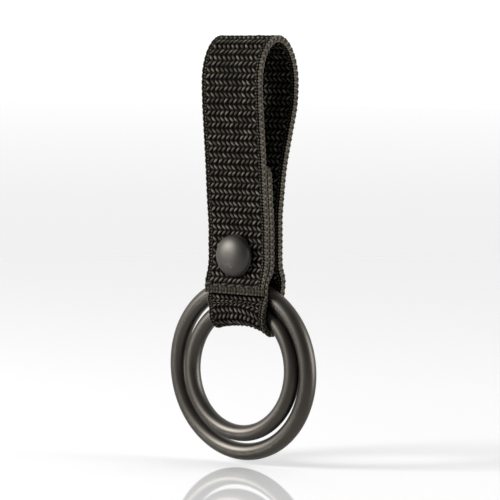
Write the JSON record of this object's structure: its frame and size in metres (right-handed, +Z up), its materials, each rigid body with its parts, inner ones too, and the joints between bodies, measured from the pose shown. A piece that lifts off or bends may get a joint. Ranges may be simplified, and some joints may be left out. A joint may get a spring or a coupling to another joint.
{
  "type": "double-ring belt hanger",
  "caption": "Webbing belt loop with a press snap, carrying a large round wire ring and a smaller one nested inside it, to hang keys or a torch.",
  "frame": {"origin": "middle of the belt seat, the underside of the webbing's top fold", "axes": "+Z up, the snap cap and the front face -Y, the webbing's width along X"},
  "size_m": [0.0624, 0.0214, 0.145],
  "materials": {
    "webbing": "matte woven nylon",
    "thread": "matte bonded nylon thread",
    "gunmetal": "satin dark plating",
    "spring_wire": "bright"
  },
  "bodies": {
    "hanger": {"webbing_front": "webbing", "webbing_ring_loop": "webbing", "stitch_thread": "thread", "snap_cap": "gunmetal", "snap_socket": "gunmetal", "snap_socket_spring": "spring_wire"},
    "back_panel": {"webbing_back_panel": "webbing", "snap_stud": "gunmetal", "snap_eyelet": "gunmetal"},
    "large_ring": {"large_ring": "gunmetal"},
    "small_ring": {"small_ring": "gunmetal"}
  },
  "joints": [
    {"name": "snap_release", "type": "slide", "parent": "hanger", "child": "back_panel", "axis": [0, 1, 0], "range_m": [0, 0.008]},
    {"name": "large_ring_swing", "type": "hinge", "parent": "hanger", "child": "large_ring", "pos_m": [-0.0015, 0, -0.0845], "axis": [1, 0, 0], "range_deg": [-8, 8]},
    {"name": "small_ring_swing", "type": "hinge", "parent": "hanger", "child": "small_ring", "pos_m": [-0.00105, 0, -0.0918], "axis": [1, 0, 0], "range_deg": [-4.5, 11]}
  ]
}
